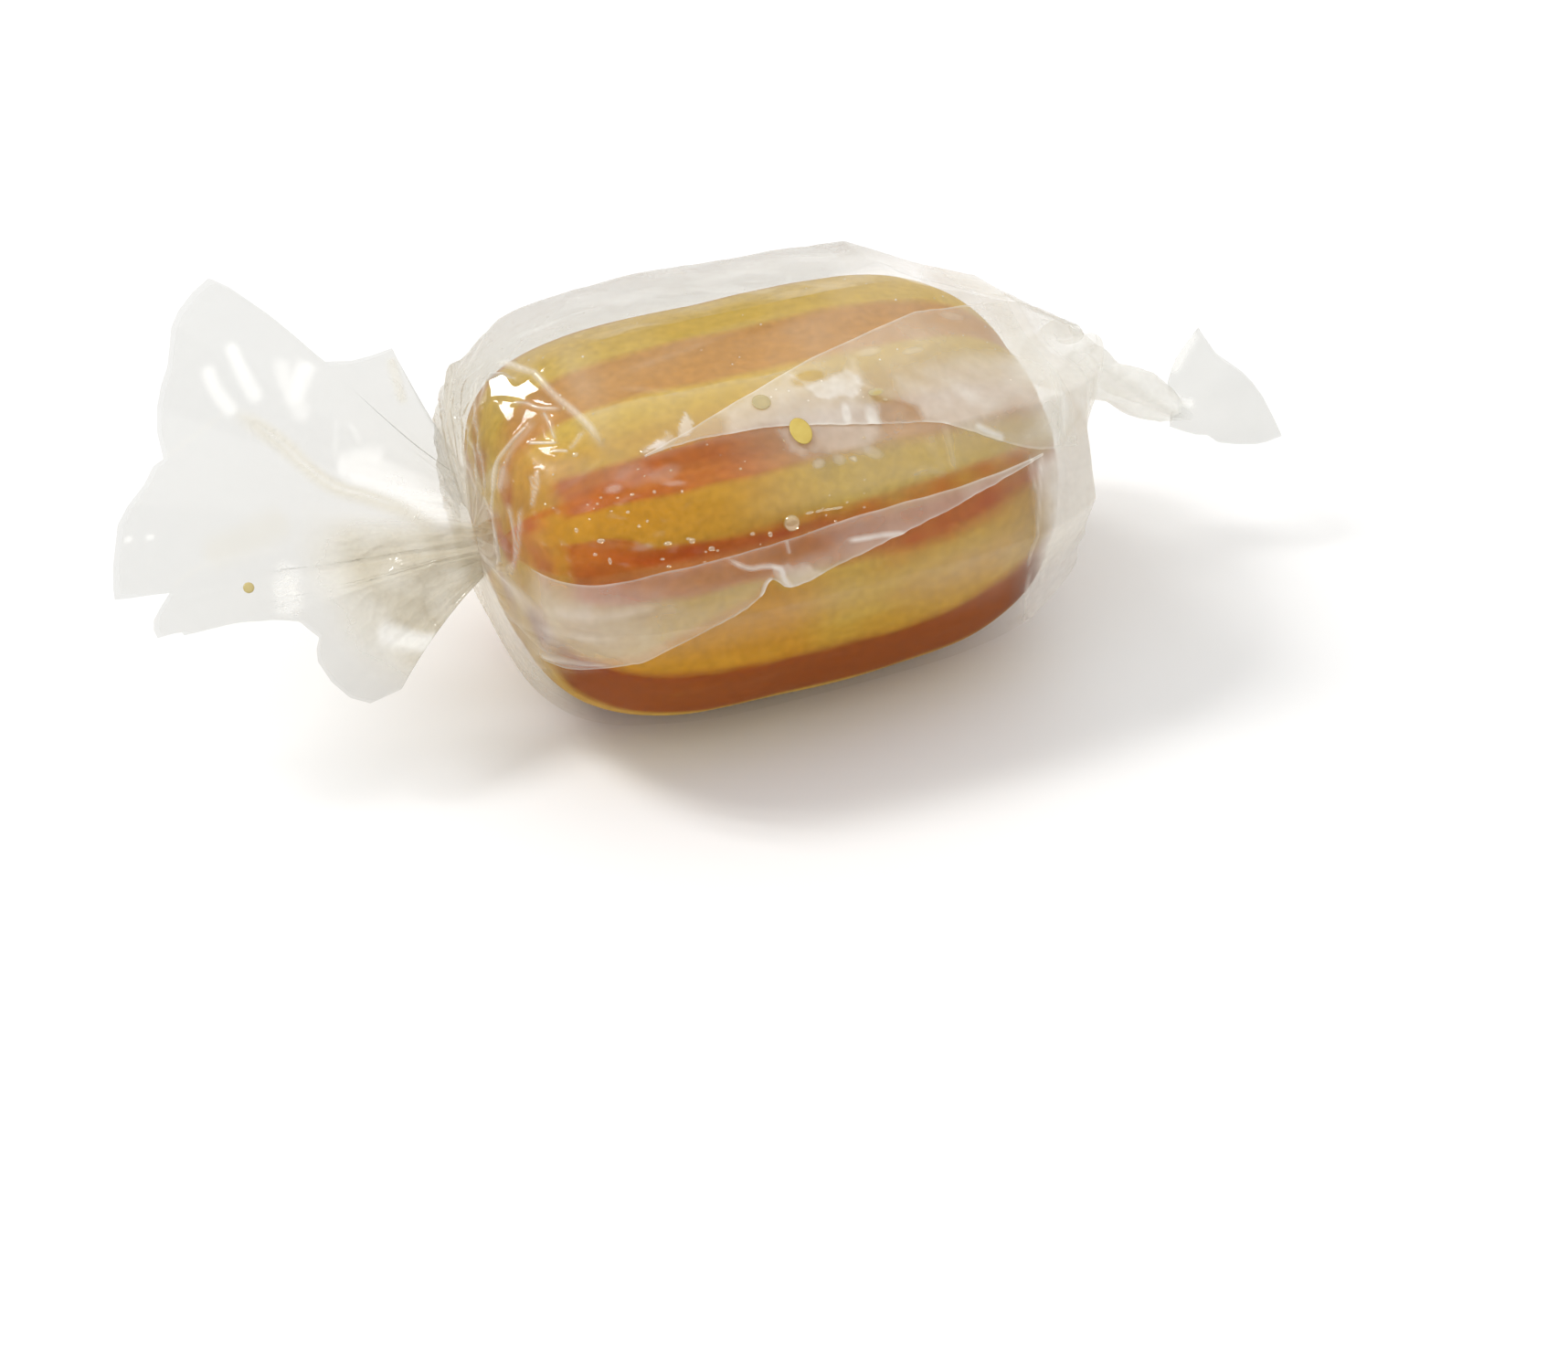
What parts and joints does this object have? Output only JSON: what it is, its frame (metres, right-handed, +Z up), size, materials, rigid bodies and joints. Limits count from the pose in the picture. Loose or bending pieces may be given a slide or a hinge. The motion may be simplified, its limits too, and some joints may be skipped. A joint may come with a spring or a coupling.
{
  "type": "wrapped mint humbug",
  "caption": "Striped boiled sweet shaped like a small pillow, wrapped in clear film that is pleated and twisted shut at both ends, one end fanned out and the other a thin rope",
  "frame": {"origin": "middle of the small flat spot that the wrapped sweet rests on, under the middle of the sweet", "axes": "X along the sweet from the fanned twist to the rope-like twist, Y across it, Z up from the resting spot"},
  "size_m": [0.0579, 0.024, 0.0193],
  "materials": {
    "striped_sugar": null,
    "clear_film": null
  },
  "bodies": {
    "root": {"sweet": "striped_sugar", "wrapper": "clear_film"}
  },
  "joints": []
}
